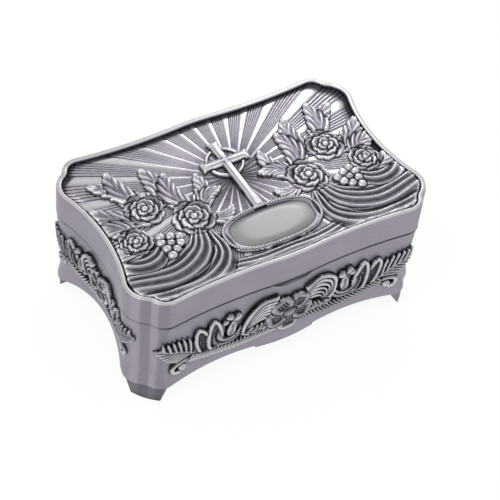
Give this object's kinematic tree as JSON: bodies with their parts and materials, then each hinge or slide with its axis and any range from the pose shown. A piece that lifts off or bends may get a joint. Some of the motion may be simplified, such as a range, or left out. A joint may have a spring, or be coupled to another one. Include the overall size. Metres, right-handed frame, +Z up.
{
  "type": "rosary box",
  "caption": "Wavy rectangular metal keepsake box with hinged lid, sunburst and floral relief, velvet lining and tapered feet.",
  "frame": {"origin": "on the surface the feet stand on, under the middle of the box", "axes": "+X along the length to the viewer's right, -Y towards the front with the thumb notch, +Z up"},
  "size_m": [0.0808, 0.0517, 0.036],
  "materials": {
    "pewter_plain": "satin, finely brushed pewter-coloured zinc alloy",
    "pewter_relief": "antiqued pewter-coloured cast zinc alloy, bright on the crests and near black in the hollows",
    "pin_steel": "drawn steel wire",
    "velvet": "short-pile dark red velvet"
  },
  "bodies": {
    "base": {"base_shell": "pewter_plain", "foot_front_left": "pewter_plain", "foot_front_right": "pewter_plain", "foot_back_left": "pewter_plain", "foot_back_right": "pewter_plain", "bottom_plate": "pewter_plain", "base_wall_lining": "velvet", "base_floor_pad": "velvet", "hinge_pin": "pin_steel", "front_frieze": "pewter_relief", "back_frieze": "pewter_relief", "left_frieze": "pewter_relief", "right_frieze": "pewter_relief"},
    "lid": {"lid_shell": "pewter_plain", "lid_pad": "velvet", "lid_sunburst": "pewter_relief", "lid_ornament": "pewter_relief"}
  },
  "joints": [
    {"name": "lid_hinge", "type": "hinge", "parent": "base", "child": "lid", "pos_m": [0, 0.02485, 0.02707], "axis": [-1, 0, 0], "range_deg": [0, 100]}
  ]
}
